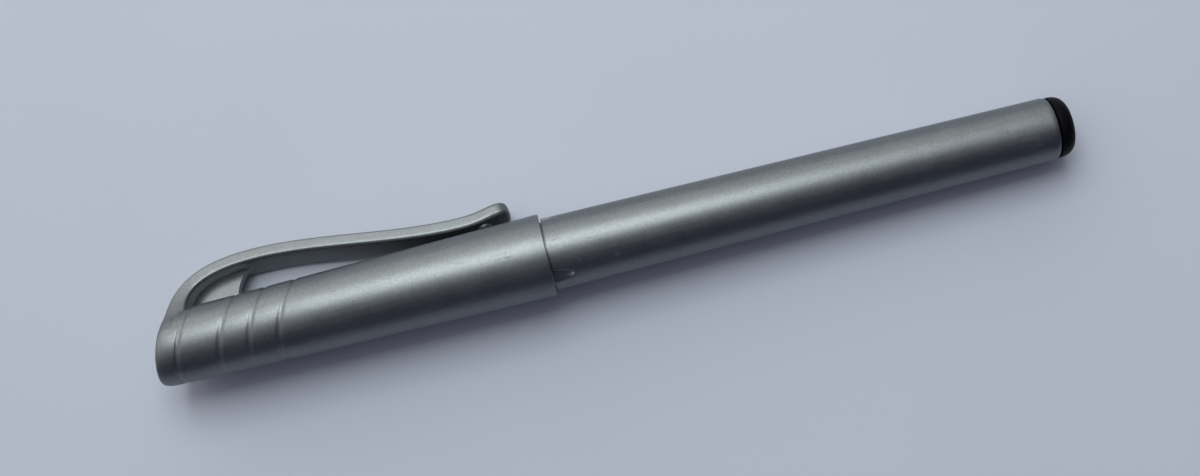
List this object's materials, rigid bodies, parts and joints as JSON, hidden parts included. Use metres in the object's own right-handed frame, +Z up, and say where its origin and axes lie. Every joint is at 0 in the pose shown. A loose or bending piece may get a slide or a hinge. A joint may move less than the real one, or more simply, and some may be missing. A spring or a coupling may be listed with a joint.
{
  "type": "capped fibre-tip marker",
  "caption": "Slim round fibre-tip marker in silver plastic, with a pull-off cap, a moulded pocket clip, a grooved crown and a black end plug.",
  "frame": {"origin": "middle of the marker's box, on the table that it lies on", "axes": "+X along the marker from the cap's closed end towards the end plug, +Y towards the clip, +Z up from the table"},
  "size_m": [0.1378, 0.0178, 0.0125],
  "materials": {
    "silver_plastic": "satin, silver pigment moulded in, with fine handling scratches",
    "black_plastic": "smooth moulded black",
    "natural_plastic": "uncoloured moulded plastic",
    "clear_film": "thin film sleeve",
    "inked_fibre": "bonded fibre soaked with black ink"
  },
  "bodies": {
    "pen": {"barrel": "silver_plastic", "nib_holder": "black_plastic", "nib": "inked_fibre", "reservoir_core": "inked_fibre", "reservoir_wrap": "clear_film", "end_plug": "black_plastic"},
    "cap": {"cap_shell": "silver_plastic", "cap_liner": "natural_plastic"}
  },
  "joints": [
    {"name": "cap_pull", "type": "slide", "parent": "pen", "child": "cap", "axis": [-0.9998, 0, 0.0191], "range_m": [0, 0.05]}
  ]
}
